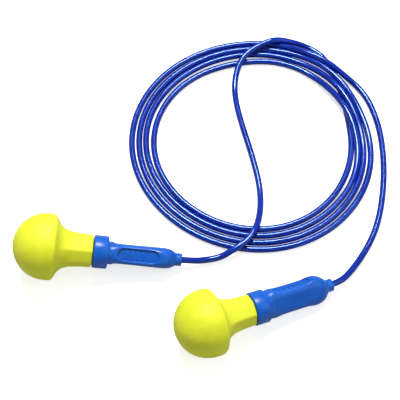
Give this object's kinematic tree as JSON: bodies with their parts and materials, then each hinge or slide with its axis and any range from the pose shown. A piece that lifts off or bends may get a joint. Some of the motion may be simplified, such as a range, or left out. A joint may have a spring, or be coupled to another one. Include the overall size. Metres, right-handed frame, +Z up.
{
  "type": "corded ear plugs",
  "caption": "Pair of mushroom-shaped foam ear plugs on flattened blue grips, joined by a long thin cord laid in a loose coil.",
  "frame": {"origin": "on the surface the plugs lie on, under the middle of the box round the two plugs without their cord", "axes": "+Z up from the surface, +X from the left plug's foam towards the cord's end of the right plug, +Y towards the coil"},
  "size_m": [0.0808, 0.0829, 0.0141],
  "materials": {
    "foam": "matte",
    "grip_plastic": "satin",
    "cord_pvc": "gloss"
  },
  "bodies": {
    "cord": {"cord_left_run": "cord_pvc", "cord_coil": "cord_pvc", "cord_right_run": "cord_pvc"},
    "left_plug": {"left_grip": "grip_plastic", "left_foam_tip": "foam", "left_cord_end": "cord_pvc"},
    "right_plug": {"right_grip": "grip_plastic", "right_foam_tip": "foam", "right_cord_end": "cord_pvc"}
  },
  "joints": [
    {"name": "left_plug_swing", "type": "hinge", "parent": "cord", "child": "left_plug", "pos_m": [0.00123, 0.00775, 0.00245], "axis": [0, 0, 1], "range_deg": [-25, 30]},
    {"name": "right_plug_swing", "type": "hinge", "parent": "cord", "child": "right_plug", "pos_m": [0.03263, 0.0019, 0.00232], "axis": [0, 0, 1], "range_deg": [-8, 30]}
  ]
}
